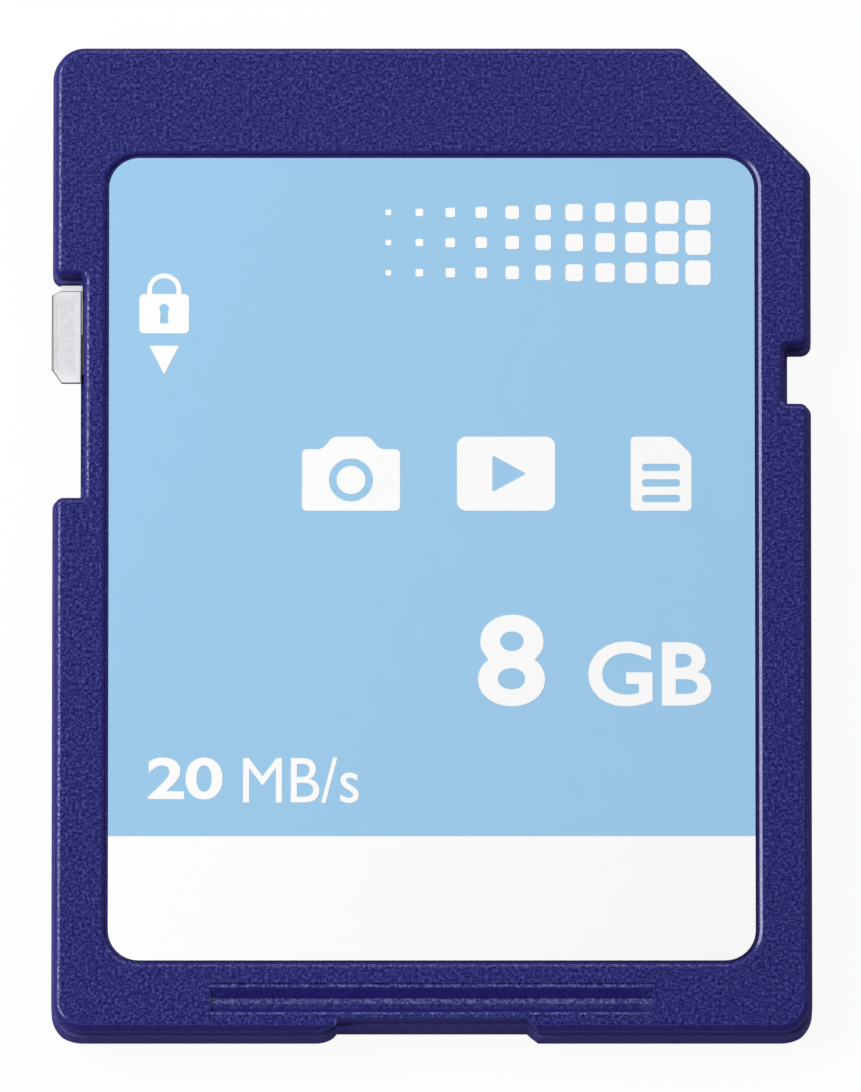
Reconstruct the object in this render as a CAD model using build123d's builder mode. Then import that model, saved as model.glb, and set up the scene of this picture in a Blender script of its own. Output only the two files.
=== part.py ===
from build123d import *
from math import sqrt
import os

os.makedirs("parts", exist_ok=True)

# A full-size memory card: two moulded case halves welded round a thin circuit board, a printed
# label in a shallow recess, and a write-protect slider that runs in a slot in the left edge.
# The card lies on its back with the label up. The origin is the middle of the footprint on the
# back face. +X is to the right seen from the label, +Y points to the contact end, which goes into
# the reader first, and +Z comes out of the label. All sizes are in millimetres.

# Outline
card_width = 24.0
card_length = 32.0
corner_radius = 1.0
key_corner = 4.0
key_corner_radius = 0.5
front_edge_round = 0.20
back_edge_break = 0.08
parting_step = 0.10

# Layers, from the label down to the back face
label_recess = 0.14
front_wall = 0.26
chip_headroom = 0.06
chip_height = 0.60
board_thickness = 0.30
contact_thickness = 0.04
contact_depth = 0.70

# Latch notch in the right edge and lock slot in the left edge, measured from the contact end
notch_setback = 9.85
notch_length = 1.70
notch_depth = 0.75
slot_setback = 7.6
slot_length = 7.0
slot_depth = 0.89
mouth_radius = 0.34
slot_corner_radius = 0.05

# Guide rails: the edges are thinner on the back, as far as the grip end
rail_width = 0.75
rail_stop = 2.0
rail_stop_radius = 0.5

# Grip end: a shallow recess in the edge, a bevel on the back and fingernail grooves in the front
grip_recess_width = 6.0
grip_recess_depth = 0.37
grip_recess_left_slope = 0.23
grip_recess_right_slope = 0.35
grip_recess_round = 0.76
grip_bevel_width = 0.30
grip_bevel_height = 0.36
groove_length = 14.0
groove_run_out = 0.05

# Section of the grooves, from the label side: how far each trough and ridge is from the grip end, its
# depth, and the radius of the ridge
groove_start = 1.60
groove_troughs = ((1.565, 0.045), (1.130, 0.195), (0.800, 0.165))
groove_ridges = ((1.455, 0.000, 0.08), (0.945, 0.125, 0.06), (0.660, 0.000, 0.30))
groove_lead_out = 0.30
groove_lead_rise = 0.02

# Label and its recess
recess_side_margin = 1.66
recess_top_margin = 3.57
recess_bottom_margin = 2.20
recess_radius = 1.1
recess_rim_width = 0.09
recess_rim_drop = 0.037
label_gap = 0.13
label_thickness = 0.10

# Walls round the board
notch_wall = 0.45
end_wall = 1.0
key_wall = 1.0
interior_radius = 0.3
board_gap = 0.10
lip_gap = 0.06
lip_width = 0.45
lip_height = 0.24
floor_thickness = 0.45
ledge_width = 0.9
floor_cells = 3
floor_rib = 0.6

# Contacts, numbered as on the card; the two outermost on the left are narrow
contact_width = 1.60
narrow_contact_width = 1.10
contact_length = 4.0
contact_end_margin = 0.30
contact_8_margin = 0.40
contact_9_margin = 0.525
contact_9_key_margin = 0.10
contact_7_step = 2.425
contact_8_step = 1.70
window_gap = 0.075

# Write-protect slider: a drafted knob in the slot, a web through the slit and a foot in the track
slider_length = 3.2
slider_end_gap = 0.15
slider_side_gap = 0.05
slider_proud = 0.05
slider_front_inset = 0.45
slider_back_inset = 0.10
slider_draft = 15.0
slider_neck_length = 0.15
slider_neck_setback = 0.30
slider_neck_drop = 0.04
slider_shoulder = 0.16
slider_tail = 0.47
slider_tail_setback = 0.33
slider_edge_round = 0.06
slit_wall = 0.35
slit_height = 0.30
track_width = 0.50
track_height = 0.60
track_wall = 0.35
bay_margin = 0.40
foot_inset = 0.40
nub_height = 0.08
nub_radius = 0.20
nub_gap = 0.02

# Chips and small components on the board
component_gap = 0.8
chip_standoff = 0.05
flash_body_length = 15.4
flash_body_width = 12.0
flash_body_draft = 6.0
flash_dimple_radius = 0.5
flash_dimple_depth = 0.05
flash_dimple_inset = 1.4
lead_count = 24
lead_pitch = 0.50
lead_width = 0.20
lead_thickness = 0.10
lead_reach = 0.80
lead_foot = 0.45
controller_size = 6.0
controller_height = 0.50
controller_offset = 1.5
terminals_per_side = 10
terminal_pitch = 0.50
terminal_width = 0.25
terminal_length = 0.45
terminal_proud = 0.05
passive_length = 1.0
passive_width = 0.50
capacitor_height = 0.50
resistor_height = 0.35
passive_cap_length = 0.25
passive_cap_proud = 0.02
passive_pitch = 2.0
capacitor_count = 6
resistor_count = 4

# Levels above the back face
board_z = contact_depth + contact_thickness
board_top_z = board_z + board_thickness
parting_z = board_top_z + lip_height
ceiling_z = board_top_z + chip_height + chip_headroom
recess_z = ceiling_z + front_wall
front_z = recess_z + label_recess

# Places in the plan
half_width = card_width / 2
half_length = card_length / 2
side_wall = notch_depth + notch_wall
notch_top = half_length - notch_setback
notch_bottom = notch_top - notch_length
slot_top = half_length - slot_setback
slot_bottom = slot_top - slot_length
slot_x = slot_depth - half_width
track_x = slot_x + slit_wall
track_inner_x = track_x + track_width
bay_x = track_inner_x + track_wall
track_length = slot_length - 2 * foot_inset
slot_middle = (slot_top + slot_bottom) / 2
slider_top = slot_top - slider_end_gap
slider_bottom = slider_top - slider_length
slider_middle = (slider_top + slider_bottom) / 2
slider_travel = slot_length - slider_length - 2 * slider_end_gap

recess_width = card_width - 2 * recess_side_margin
recess_length = card_length - recess_top_margin - recess_bottom_margin
recess_y = (recess_bottom_margin - recess_top_margin) / 2

# Contact places: the pitch fills the row between the two outermost contacts
contact_8_x = -half_width + side_wall + board_gap + contact_8_margin + narrow_contact_width / 2
contact_9_x = half_width - side_wall - board_gap - contact_9_margin - contact_width / 2
contact_7_x = contact_8_x + contact_8_step
contact_6_x = contact_7_x + contact_7_step
contact_pitch = (contact_9_x - contact_6_x) / 6
contact_top = half_length - end_wall - board_gap - contact_end_margin


def key_sum(inset):
    """x + y along the cut key corner, drawn in by inset."""
    return half_width + half_length - key_corner - sqrt(2) * inset


contact_9_top = (
    key_sum(key_wall + board_gap) - contact_9_key_margin - contact_9_x - contact_width / 2
)
contacts = {
    9: (contact_9_x, contact_9_top, contact_width),
    7: (contact_7_x, contact_top, narrow_contact_width),
    8: (contact_8_x, contact_top, narrow_contact_width),
}
for number in range(1, 7):
    contacts[number] = (contact_9_x - number * contact_pitch, contact_top, contact_width)


def corners_at(points):
    """The corners of the sketch in hand that stand at the given places."""
    return [
        corner
        for corner in vertices()
        if any((corner.center() - Vector(x, y)).length < 0.001 for x, y in points)
    ]


def card_outline(inset):
    """The card from the front, drawn in by inset: key corner, latch notch and lock slot."""
    left = -half_width + inset
    right = half_width - inset
    bottom = -half_length + inset
    top = half_length - inset
    notch_x = right - notch_depth
    key = key_sum(inset)
    round_corners = [(left, bottom), (right, bottom), (left, top)]
    key_corners = [(right, key - right), (key - top, top)]
    notch_mouth = [(right, notch_bottom - inset), (right, notch_top + inset)]
    notch_corners = [(notch_x, y) for x, y in notch_mouth]
    slot_mouth = [(left, slot_top + inset), (left, slot_bottom - inset)]
    slot_corners = [(slot_x + inset, y) for x, y in slot_mouth]
    Polygon(
        round_corners[:2],
        notch_mouth[0], notch_corners, notch_mouth[1],
        key_corners,
        round_corners[2],
        slot_mouth[0], slot_corners, slot_mouth[1],
    )
    fillet(corners_at(round_corners), corner_radius - inset)
    fillet(corners_at(key_corners), key_corner_radius - inset)
    fillet(corners_at(notch_mouth + slot_mouth), mouth_radius - inset)
    fillet(corners_at(notch_corners + slot_corners), slot_corner_radius + inset)


def interior_outline(gap):
    """The room between the walls, drawn in by gap, with a bay left for the slider's track."""
    left = -half_width + side_wall + gap
    right = half_width - side_wall - gap
    bottom = -half_length + end_wall + gap
    top = half_length - end_wall - gap
    bay_top = slot_top + bay_margin + gap
    bay_bottom = slot_bottom - bay_margin - gap
    key = key_sum(key_wall + gap)
    Polygon(
        (left, bottom), (right, bottom), (right, key - right), (key - top, top), (left, top),
        (left, bay_top), (bay_x + gap, bay_top), (bay_x + gap, bay_bottom), (left, bay_bottom),
    )
    fillet(vertices(), interior_radius)


def grip_recess_outline(inset):
    """The shallow recess in the grip end, with slanted ends, the left one rounded off."""
    inner = grip_recess_width / 2
    right = inner + grip_recess_right_slope
    inner_y = grip_recess_depth + inset - half_length
    outer_y = inset - half_length
    past_edge = outer_y - grip_recess_depth
    left_corner = (-inner - grip_recess_left_slope, outer_y)
    past_corner = left_corner[0] - grip_recess_round
    Polygon(
        (-inner, inner_y), left_corner, (past_corner, outer_y), (past_corner, past_edge),
        (right, past_edge), (right, outer_y), (inner, inner_y),
    )
    fillet(corners_at([left_corner]), grip_recess_round)


# Room for the slider's web and foot, split evenly by the parting plane
with BuildPart() as track_room:
    with BuildSketch(Plane.XY.offset(parting_z)):
        with Locations((slot_x - slider_side_gap, slot_middle)):
            Rectangle(slit_wall + slider_side_gap, track_length, align=(Align.MIN, Align.CENTER))
    extrude(amount=slit_height / 2, both=True)
    with BuildSketch(Plane.XY.offset(parting_z)):
        with Locations((track_x, slot_middle)):
            Rectangle(track_width, track_length, align=(Align.MIN, Align.CENTER))
        with Locations((track_inner_x, slider_middle), (track_inner_x, slider_middle - slider_travel)):
            Circle(nub_radius)
    extrude(amount=track_height / 2, both=True)

# Fingernail grooves: long slopes towards the grip end and short rises to rounded ridges
with BuildPart() as nail_grooves:
    deepest = max(depth for setback, depth in groove_troughs)
    above = front_z + deepest
    troughs = [(setback - half_length, front_z - depth) for setback, depth in groove_troughs]
    ridges = [(setback - half_length, front_z - depth) for setback, depth, radius in groove_ridges]
    section = [corner for pair in zip(troughs, ridges) for corner in pair]
    label_side = groove_start - half_length
    grip_side = ridges[-1][0] - groove_lead_out
    with BuildSketch(Plane.YZ):
        Polygon(
            (label_side, above), (label_side, front_z), section,
            (grip_side, front_z + groove_lead_rise), (grip_side, above),
        )
        for ridge, (setback, depth, radius) in zip(ridges, groove_ridges):
            fillet(corners_at([ridge]), radius)
    extrude(amount=card_width / 2, both=True)
    with BuildSketch(Plane.XZ):
        Polygon(
            (-groove_length / 2 - groove_run_out, above), (groove_length / 2 + groove_run_out, above),
            (groove_length / 2 - groove_run_out, front_z - deepest),
            (groove_run_out - groove_length / 2, front_z - deepest),
        )
    extrude(amount=card_length, both=True, mode=Mode.INTERSECT)

# Front half of the case: the label side, hollowed over the components, with a lip that goes down
# inside the back half and holds the board on its ledges
cavity_gap = lip_gap + lip_width
with BuildPart() as front_shell:
    with BuildSketch(Plane.XY.offset(parting_z)):
        card_outline(parting_step)
    extrude(amount=front_z - parting_z)
    fillet(edges().group_by(Axis.Z)[-1], front_edge_round)
    with BuildSketch(Plane.XY.offset(parting_z)):
        grip_recess_outline(parting_step)
    extrude(amount=front_z - parting_z, mode=Mode.SUBTRACT)
    with BuildSketch(Plane.XY.offset(recess_z)):
        with Locations((0, recess_y)):
            RectangleRounded(recess_width, recess_length, recess_radius)
    extrude(amount=label_recess, mode=Mode.SUBTRACT)
    front_face = faces().sort_by(Axis.Z)[-1]
    rim = edges(Select.LAST).group_by(Axis.Z)[-1]
    chamfer(rim, recess_rim_width, recess_rim_drop, reference=front_face)
    add(nail_grooves.part, mode=Mode.SUBTRACT)
    with BuildSketch(Plane.XY.offset(parting_z)):
        interior_outline(cavity_gap)
    extrude(amount=ceiling_z - parting_z, mode=Mode.SUBTRACT)
    with BuildSketch(Plane.XY.offset(board_top_z)):
        interior_outline(lip_gap)
        with BuildSketch(mode=Mode.PRIVATE) as cavity:
            interior_outline(cavity_gap)
        add(cavity.sketch, mode=Mode.SUBTRACT)
    extrude(amount=lip_height)
    add(track_room.part, mode=Mode.SUBTRACT)
front_shell.part.label = "front_shell"
export_step(front_shell.part, "parts/front_shell.step")

# Back half of the case: a flange all round and a thick plateau between the guide rails, with a
# window for each contact and a channel from it to the leading edge
with BuildPart() as back_shell:
    with BuildSketch():
        card_outline(0)
        with BuildSketch(mode=Mode.PRIVATE) as plateau:
            Rectangle(card_width - 2 * rail_width, card_length)
            with Locations((0, -half_length)):
                Rectangle(card_width, rail_stop, align=(Align.CENTER, Align.MIN))
            rail_stops = [
                (side * (half_width - rail_width), rail_stop - half_length) for side in (-1, 1)
            ]
            fillet(corners_at(rail_stops), rail_stop_radius)
        add(plateau.sketch, mode=Mode.INTERSECT)
    extrude(amount=contact_depth)
    with BuildSketch(Plane.YZ):
        Polygon(
            (-half_length, 0), (grip_bevel_width - half_length, 0), (-half_length, grip_bevel_height),
        )
    extrude(amount=half_width, both=True, mode=Mode.SUBTRACT)
    chamfer(edges().group_by(Axis.Z)[0], back_edge_break)
    with BuildSketch(Plane.XY.offset(contact_depth)):
        card_outline(0)
    extrude(amount=parting_z - contact_depth)
    with BuildSketch():
        grip_recess_outline(0)
    extrude(amount=parting_z, mode=Mode.SUBTRACT)
    with BuildSketch(Plane.XY.offset(board_z)):
        interior_outline(0)
    extrude(amount=parting_z - board_z, mode=Mode.SUBTRACT)
    with BuildSketch():
        for x, top, width in contacts.values():
            with Locations((x, top - contact_length / 2)):
                Rectangle(width + 2 * window_gap, contact_length + 2 * window_gap)
    extrude(amount=board_z, mode=Mode.SUBTRACT)
    with BuildSketch():
        for x, top, width in contacts.values():
            with Locations((x, top)):
                Rectangle(
                    width + 2 * window_gap, half_length - top, align=(Align.CENTER, Align.MIN)
                )
    extrude(amount=contact_depth, mode=Mode.SUBTRACT)
    cells_width = -2 * (bay_x + ledge_width)
    cells_bottom = -half_length + end_wall + ledge_width
    cells_top = contact_9_top - contact_length - window_gap - ledge_width
    cell_width = (cells_width - (floor_cells - 1) * floor_rib) / floor_cells
    with BuildSketch(Plane.XY.offset(floor_thickness)):
        with Locations((0, (cells_bottom + cells_top) / 2)):
            with GridLocations(cell_width + floor_rib, 0, floor_cells, 1):
                RectangleRounded(cell_width, cells_top - cells_bottom, interior_radius)
    extrude(amount=board_z - floor_thickness, mode=Mode.SUBTRACT)
    add(track_room.part, mode=Mode.SUBTRACT)
back_shell.part.label = "back_shell"
export_step(back_shell.part, "parts/back_shell.step")

# Printed film label
with BuildPart() as label:
    with BuildSketch(Plane.XY.offset(recess_z)):
        with Locations((0, recess_y)):
            RectangleRounded(
                recess_width - 2 * label_gap, recess_length - 2 * label_gap, recess_radius - label_gap
            )
    extrude(amount=label_thickness)
label.part.label = "label"
export_step(label.part, "parts/label.step")

# Write-protect slider, at the contact end of its slot: unlocked. The knob tapers towards the back,
# and its neck lies a little lower than its face
knob_outer_x = -half_width - slider_proud
knob_inner_x = slot_x + parting_step - slider_side_gap
knob_neck_x = knob_outer_x + slider_neck_setback
knob_neck_y = slider_top - slider_neck_length
knob_low_z = contact_depth + slider_back_inset
knob_high_z = front_z - slider_front_inset
web_x = (knob_outer_x + knob_inner_x) / 2
foot_length = slider_length - 2 * foot_inset
foot_x = track_x + slider_side_gap
foot_inner_x = track_inner_x - nub_height - nub_gap
with BuildPart() as lock_slider:
    with BuildSketch(Plane.XY.offset(knob_high_z)):
        Polygon(
            (knob_inner_x, knob_neck_y),
            (knob_neck_x, knob_neck_y),
            (knob_outer_x, knob_neck_y - slider_shoulder),
            (knob_outer_x, slider_bottom + slider_tail),
            (knob_outer_x + slider_tail_setback, slider_bottom),
            (knob_inner_x, slider_bottom),
        )
    extrude(amount=knob_low_z - knob_high_z, taper=slider_draft)
    fillet(faces().sort_by(Axis.Z)[-1].edges(), slider_edge_round)
    with BuildSketch(Plane.XY.offset(knob_high_z - slider_neck_drop)):
        Polygon(
            (knob_inner_x, slider_top),
            (knob_neck_x, slider_top),
            (knob_neck_x, slider_middle),
            (knob_inner_x, slider_middle),
        )
    extrude(amount=knob_low_z - knob_high_z + slider_neck_drop, taper=slider_draft)
    with BuildSketch(Plane.XY.offset(parting_z)):
        with Locations((web_x, slider_middle)):
            Rectangle(foot_x - web_x, foot_length, align=(Align.MIN, Align.CENTER))
    extrude(amount=slit_height / 2 - slider_side_gap, both=True)
    with BuildSketch(Plane.XY.offset(parting_z)):
        with Locations((foot_x, slider_middle)):
            Rectangle(foot_inner_x - foot_x, foot_length, align=(Align.MIN, Align.CENTER))
        with Locations((foot_inner_x + nub_height - nub_radius, slider_middle)):
            Circle(nub_radius)
    extrude(amount=track_height / 2 - slider_side_gap, both=True)
lock_slider.part.label = "lock_slider"
export_step(lock_slider.part, "parts/lock_slider.step")

# Circuit board, resting on the ledges of the back half
with BuildPart() as circuit_board:
    with BuildSketch(Plane.XY.offset(board_z)):
        interior_outline(board_gap)
    extrude(amount=board_thickness)
circuit_board.part.label = "circuit_board"
export_step(circuit_board.part, "parts/circuit_board.step")

# Contacts on the underside of the board
for number, (x, top, width) in contacts.items():
    with BuildPart() as contact:
        with BuildSketch(Plane.XY.offset(contact_depth)):
            with Locations((x, top)):
                Rectangle(width, contact_length, align=(Align.CENTER, Align.MAX))
        extrude(amount=contact_thickness)
    contact.part.label = f"contact_{number}"
    export_step(contact.part, f"parts/contact_{number}.step")

# Memory package: a moulded body with drafted sides and a mark at its first lead
cavity_bottom = -half_length + end_wall + cavity_gap
flash_y = cavity_bottom + component_gap / 2 + flash_body_width / 2
flash_top_z = board_top_z + chip_height
body_height = chip_height - chip_standoff
lead_z = flash_top_z - body_height / 2
with BuildPart() as flash_chip:
    with BuildSketch(Plane.XY.offset(lead_z)):
        with Locations((0, flash_y)):
            Rectangle(flash_body_length, flash_body_width)
    extrude(amount=body_height / 2, both=True, taper=flash_body_draft)
    with BuildSketch(Plane.XY.offset(flash_top_z)):
        with Locations((
            flash_dimple_inset - flash_body_length / 2,
            flash_y + flash_body_width / 2 - flash_dimple_inset,
        )):
            Circle(flash_dimple_radius)
    extrude(amount=-flash_dimple_depth, mode=Mode.SUBTRACT)
flash_chip.part.label = "flash_chip"
export_step(flash_chip.part, "parts/flash_chip.step")

# Its leads: out of the body at half height, down to the board and along it
with BuildPart() as flash_leads:
    with BuildSketch(Plane.XZ.offset(-flash_y)):
        body_edge = flash_body_length / 2
        drop_x = body_edge + lead_reach - lead_foot
        Polygon(
            (body_edge, lead_z), (drop_x, lead_z), (drop_x, board_top_z + lead_thickness),
            (body_edge + lead_reach, board_top_z + lead_thickness), (body_edge + lead_reach, board_top_z),
            (drop_x - lead_thickness, board_top_z), (drop_x - lead_thickness, lead_z - lead_thickness),
            (body_edge, lead_z - lead_thickness),
        )
    extrude(amount=lead_width / 2, both=True)
flash_lead = flash_leads.part
with BuildPart() as flash_leads:
    with GridLocations(0, lead_pitch, 1, lead_count):
        add(flash_lead)
    mirror(about=Plane.YZ)
flash_leads.part.label = "flash_leads"
export_step(flash_leads.part, "parts/flash_leads.step")

# Controller package and its terminals
controller_y = flash_y + flash_body_width / 2 + component_gap + controller_size / 2
with BuildPart() as controller_chip:
    with BuildSketch(Plane.XY.offset(board_top_z + chip_standoff)):
        with Locations((controller_offset, controller_y)):
            Rectangle(controller_size, controller_size)
    extrude(amount=controller_height)
controller_chip.part.label = "controller_chip"
export_step(controller_chip.part, "parts/controller_chip.step")

terminal_middle = controller_size / 2 + terminal_proud - terminal_length / 2
with BuildPart() as controller_pads:
    with BuildSketch(Plane.XY.offset(board_top_z)):
        with Locations((controller_offset, controller_y)):
            with PolarLocations(terminal_middle, 4):
                with GridLocations(0, terminal_pitch, 1, terminals_per_side):
                    Rectangle(terminal_length, terminal_width)
    extrude(amount=chip_standoff)
controller_pads.part.label = "controller_pads"
export_step(controller_pads.part, "parts/controller_pads.step")


def export_passive(name, x, y, height):
    """A small two-terminal component: a body and two metal end caps that stand proud of it."""
    with BuildPart() as passive:
        with BuildSketch(Plane.XY.offset(board_top_z)):
            with Locations((x, y)):
                Rectangle(passive_length, passive_width - 2 * passive_cap_proud)
        extrude(amount=height - passive_cap_proud)
        with BuildSketch(Plane.XY.offset(board_top_z)):
            with Locations((x, y)):
                with GridLocations(passive_length - passive_cap_length, 0, 2, 1):
                    Rectangle(passive_cap_length, passive_width)
        extrude(amount=height)
    passive.part.label = name
    export_step(passive.part, f"parts/{name}.step")


# Capacitors in a row beyond the controller, and resistors in the next row
capacitor_y = controller_y + controller_size / 2 + component_gap + passive_width / 2
resistor_y = capacitor_y + passive_width + component_gap
for row, count, y, height in (
    ("capacitor", capacitor_count, capacitor_y, capacitor_height),
    ("resistor", resistor_count, resistor_y, resistor_height),
):
    for index in range(count):
        export_passive(f"{row}_{index + 1}", (index - (count - 1) / 2) * passive_pitch, y, height)
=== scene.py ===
import math

import bmesh
import bpy
from bpy.props import FloatProperty, FloatVectorProperty, IntProperty, PointerProperty, StringProperty
from mathutils import Matrix, Vector


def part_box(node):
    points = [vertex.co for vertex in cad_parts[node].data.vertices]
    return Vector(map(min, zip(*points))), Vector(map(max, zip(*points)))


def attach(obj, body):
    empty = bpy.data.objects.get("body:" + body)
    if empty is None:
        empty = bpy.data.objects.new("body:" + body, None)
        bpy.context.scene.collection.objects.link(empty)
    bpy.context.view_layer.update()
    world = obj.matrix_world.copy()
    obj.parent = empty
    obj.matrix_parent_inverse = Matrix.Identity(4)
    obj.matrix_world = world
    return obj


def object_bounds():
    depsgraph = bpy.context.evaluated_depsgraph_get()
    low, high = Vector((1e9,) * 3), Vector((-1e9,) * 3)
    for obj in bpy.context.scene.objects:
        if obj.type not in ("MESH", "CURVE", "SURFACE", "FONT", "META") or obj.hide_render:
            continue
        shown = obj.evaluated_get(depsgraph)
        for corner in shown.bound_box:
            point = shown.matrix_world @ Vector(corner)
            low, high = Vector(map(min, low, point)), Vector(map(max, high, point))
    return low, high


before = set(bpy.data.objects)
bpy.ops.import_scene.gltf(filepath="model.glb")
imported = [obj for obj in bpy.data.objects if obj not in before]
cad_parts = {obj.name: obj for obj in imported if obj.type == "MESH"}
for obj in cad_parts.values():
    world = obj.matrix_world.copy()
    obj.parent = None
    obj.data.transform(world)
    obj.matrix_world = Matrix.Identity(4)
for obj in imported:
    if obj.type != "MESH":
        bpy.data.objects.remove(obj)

bl_info = {
    "name": "Memory Card Finish",
    "version": (1, 0, 0),
    "blender": (4, 5, 0),
    "location": "3D View > Sidebar > Memory Card",
    "description": "Finishes, label print and studio for a memory card with a write-lock slider",
    "category": "Object",
}

CAD_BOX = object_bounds()
LABEL_LOW, LABEL_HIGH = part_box("label")
BACK_LOW, BACK_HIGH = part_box("back_shell")
GRIP_END = BACK_LOW.y
SEAM_HEIGHT = BACK_HIGH.z
MILLIMETRE = 0.001

# The crests of the fingernail grooves, kept free of the painted wall shade: how far each starts and ends
# from the grip end
GROOVE_CRESTS = ((0.54 * MILLIMETRE, 0.66 * MILLIMETRE), (1.44 * MILLIMETRE, 1.62 * MILLIMETRE))
# How far the painted shade and painted light of the grooves reach past their ends
GROOVE_MARGIN = 0.1 * MILLIMETRE
# A groove's end slope faces +X by more than this; light is painted on such a slope
END_SLOPE = 0.3
# How near to a ledge's height a point counts as on it
LEDGE_MATCH = 0.01 * MILLIMETRE

# How level a surface is, from nought on a wall to one on a flat face, where a change starts and ends
ROUGH_WALLS = (0.40, 0.80)
GRAINED_FACES = (0.80, 0.96)
POLISHED_EDGES = (0.84, 0.92)
TURNED_EDGES = (0.985, 0.997)
# The slider's upper edges, where painted shade is laid, lie between the next two.
SLIDER_EDGE_FOOT = (0.10, 0.35)
SLIDER_EDGE_TOP = (0.80, 0.96)
LEVEL_FACE = 0.5

# How high a bead of the mould texture stands, from nought to one, where a change starts and ends
BEAD_TONES = (0.30, 0.70)
BEAD_HOLLOWS = (0.45, 0.60)
BEAD_MIDDLE = 0.5
# How sharply the tone rises from the pits to the peaks, and how much of it is left on the walls
TONE_CONTRAST = 1.8
WALL_MOTTLE = 0.2
# How much of the grain is left on the walls
EDGE_GRAIN = 0.8
# How much rougher an edge is between its beads, and how much of its polish is left there
HOLLOW_ROUGHNESS = 0.30
HOLLOW_POLISH = 0.10

# Where most values of a noise texture lie
NOISE_RANGE = (0.2, 0.8)
# Where bright metal turns dull, how much rougher it is there, and how deep the wear is
DULL_RANGE = (0.35, 0.70)
DULL_ROUGHNESS = 0.14
WEAR_DEPTH = 0.002 * MILLIMETRE

# Sides or steps of the round stretches of the print
CIRCLE_SIDES = 48
KEYHOLE_SIDES = 25
CORNER_STEPS = 8
LETTER_STEPS = 6
# Points of the print that lie closer than this are one
WELD_DISTANCE = 0.0005 * MILLIMETRE
# How near the points of a thickened outline come at a notch, as a share of the thickening
NOTCH_SHARE = 0.9

# The direction of the studio's lit side, and how far away from it the light is weakest
LIT_SIDE = (-0.55, 0.60, 0.58)
SHADED_SIDE = -0.6
# The photo's long side, and the focal length that gives its scale at the camera's distance, in pixels
PHOTO_LONG_SIDE = 1092
PHOTO_FOCAL = 34815


def length(name, description, millimetres):
    """A length property whose default is given in millimetres."""
    metres = millimetres * MILLIMETRE
    return FloatProperty(name=name, description=description, default=metres, unit="LENGTH", precision=5)


def place(name, description, x, y):
    """A point on the label's face, in millimetres from the middle of the card."""
    metres = (x * MILLIMETRE, y * MILLIMETRE)
    return FloatVectorProperty(
        name=name, description=description, default=metres, size=2, unit="LENGTH", precision=5
    )


def colour(name, description, red, green, blue):
    """A colour property, in linear light."""
    return FloatVectorProperty(
        name=name, description=description, default=(red, green, blue), subtype="COLOR", min=0, max=1
    )


def share(name, description, value):
    """A property from nought to one."""
    return FloatProperty(name=name, description=description, default=value, min=0, max=1, subtype="FACTOR")


def spread(name, description, least, most):
    """A least and a most value, each from nought to one."""
    return FloatVectorProperty(
        name=name, description=description, default=(least, most), size=2, min=0, max=1
    )


def angle(name, description, degrees):
    """An angle property whose default is given in degrees."""
    return FloatProperty(name=name, description=description, default=math.radians(degrees), subtype="ANGLE")


def power(name, description, watts):
    """The power of a lamp."""
    return FloatProperty(name=name, description=description, default=watts, unit="POWER", precision=3)


class CaseSettings(bpy.types.PropertyGroup):
    """Finish of the two halves of the case."""

    plastic: colour("Plastic", "Colour on the peaks of the mould texture", 0.054, 0.055, 0.266)
    pits: colour("Pits", "Colour deep in the mould texture", 0.0005, 0.0005, 0.086)
    # Painted shade: the walls' darker colour is laid on walls and on tilted slopes, whichever way they
    # face.
    walls: colour("Walls", "Colour of the smooth walls", 0.008, 0.001, 0.118)
    # Painted light: a pale colour on the grooves' end slope that faces +X, lifting the shade and cast
    # shadow there.
    painted_end_light: colour("Worn End", "Colour of the groove's end, worn pale by the thumb", 0.15, 0.15, 0.56)
    recess: colour("Recess", "Colour of the label recess's smooth floor", 0.026, 0.021, 0.17)
    # Painted light: a paler colour on the ledge at the seam, which lies in the upper half's shade.
    seam: colour("Seam", "Colour of the welded seam", 0.07, 0.066, 0.25)
    gloss: colour("Gloss", "Tint of the plastic's reflections", 0.45, 0.5, 1.0)
    specular: share("Specular", "Strength of the plastic's reflections", 0.6)
    grain: length("Grain", "Size of one bead of the mould texture", 0.105)
    grain_height: length("Grain Height", "Depth of the mould texture", 0.03)
    roughness: share("Roughness", "Roughness of the plastic's face", 0.22)
    wall_level: share("Wall Level", "How level a face is where the walls' colour begins", 0.985)
    wall_span: share("Wall Span", "How much less level it is where that colour is full", 0.055)
    polish: share("Polish", "How far handling has polished the edges", 1.0)
    polish_roughness: share("Polish Roughness", "Roughness of the polish", 0.15)
    rim_width: length("Rim Width", "Reach of the smooth rim to each side of the label's edge", 0.35)
    rim_beads: share("Rim Beads", "How much of the beads is left on that rim", 0.25)
    groove_reach: length("Groove Reach", "From the middle to the end of the fingernail grooves", 7.05)
    groove_fade: length("Groove Fade", "Length over which the grooves fade at their ends", 0.6)
    groove_low: length("Groove Low", "From the grip end to the grooves' near side", 0.36)
    groove_high: length("Groove High", "From the grip end to the grooves' far side", 1.62)


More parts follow.
